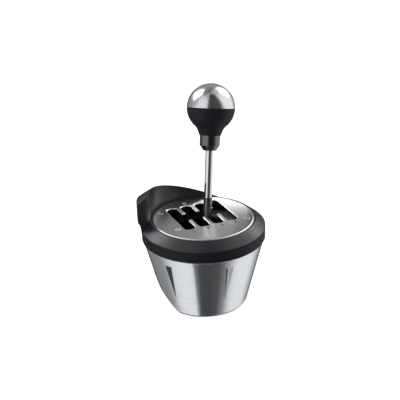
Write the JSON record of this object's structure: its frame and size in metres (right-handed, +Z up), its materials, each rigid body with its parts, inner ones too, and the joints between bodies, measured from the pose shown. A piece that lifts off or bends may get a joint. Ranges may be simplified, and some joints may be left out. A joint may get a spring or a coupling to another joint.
{
  "type": "sim racing gear shifter",
  "caption": "Desk-mounted gear shifter for driving games: a round gated plate on a tapered metal bowl, with a raised hood and a ball-topped lever.",
  "frame": {"origin": "on the axis of the round bowl, in the plane of the rubber pad that rests on the desk", "axes": "+Z up, +Y forward away from the driver, +X to the driver's right"},
  "size_m": [0.1345, 0.1356, 0.2283],
  "materials": {
    "brushed_metal": "brushed",
    "gate_metal": "brushed",
    "black_plastic": "satin",
    "black_rubber": "matt",
    "soft_grip": "matt",
    "knob_metal": "satin polish",
    "shaft_chrome": "polished",
    "sleeve_steel": "satin",
    "collar_black": "gloss",
    "dark_steel": "black oxide",
    "frame_metal": "machined",
    "bearing_bronze": "sintered",
    "steel_parts": "ground",
    "board_black": "solder mask",
    "socket_steel": "plated",
    "magnet_nickel": "nickel"
  },
  "bodies": {
    "body": {"bowl_shell": "brushed_metal", "base_pad": "black_rubber", "upper_housing": "black_plastic", "gate_plate": "gate_metal", "gate_screws": "dark_steel", "housing_screws": "dark_steel", "clamp_screws": "dark_steel", "chassis_frame": "frame_metal", "chassis_screws": "dark_steel", "mount_inserts": "bearing_bronze", "front_bush": "bearing_bronze", "rear_bush": "bearing_bronze", "left_centring_spring": "steel_parts", "right_centring_spring": "steel_parts", "friction_cup": "bearing_bronze", "disc_springs": "steel_parts", "select_sensor_board": "board_black", "select_board_screws": "dark_steel", "main_board": "board_black", "main_board_screws": "dark_steel", "usb_socket": "socket_steel"},
    "cradle": {"select_cradle": "frame_metal", "front_pin": "steel_parts", "rear_pin": "steel_parts", "left_bush": "bearing_bronze", "right_bush": "bearing_bronze", "select_magnet": "magnet_nickel", "shift_sensor_board": "board_black", "shift_board_screws": "dark_steel"},
    "lever": {"lever_hub": "frame_metal", "shift_axle": "steel_parts", "axle_circlips": "dark_steel", "shift_magnet": "magnet_nickel", "shift_shaft": "shaft_chrome", "gate_sleeve": "sleeve_steel", "hub_grub_screw": "dark_steel", "knob_cap": "knob_metal", "knob_grip": "soft_grip", "knob_collar": "collar_black", "knob_insert": "bearing_bronze"},
    "adjuster": {"resistance_screw": "dark_steel"}
  },
  "joints": [
    {"name": "select_tilt", "type": "hinge", "parent": "body", "child": "cradle", "pos_m": [-0.00065, -0.0038, 0.034], "axis": [0, 1, 0], "range_deg": [-29.5, 14.2], "stiffness_Nm_per_rad": 0.6, "deforming": ["left_centring_spring", "right_centring_spring"]},
    {"name": "shift_tilt", "type": "hinge", "parent": "cradle", "child": "lever", "pos_m": [-0.00065, -0.0038, 0.034], "axis": [-0.9865, 0, 0.1639], "range_deg": [-21.6, 11.5]},
    {"name": "resistance_screw_turn", "type": "hinge", "parent": "body", "child": "adjuster", "pos_m": [-0.00065, -0.0038, 0], "axis": [0, 0, 1], "range_deg": [-180, 180]}
  ]
}
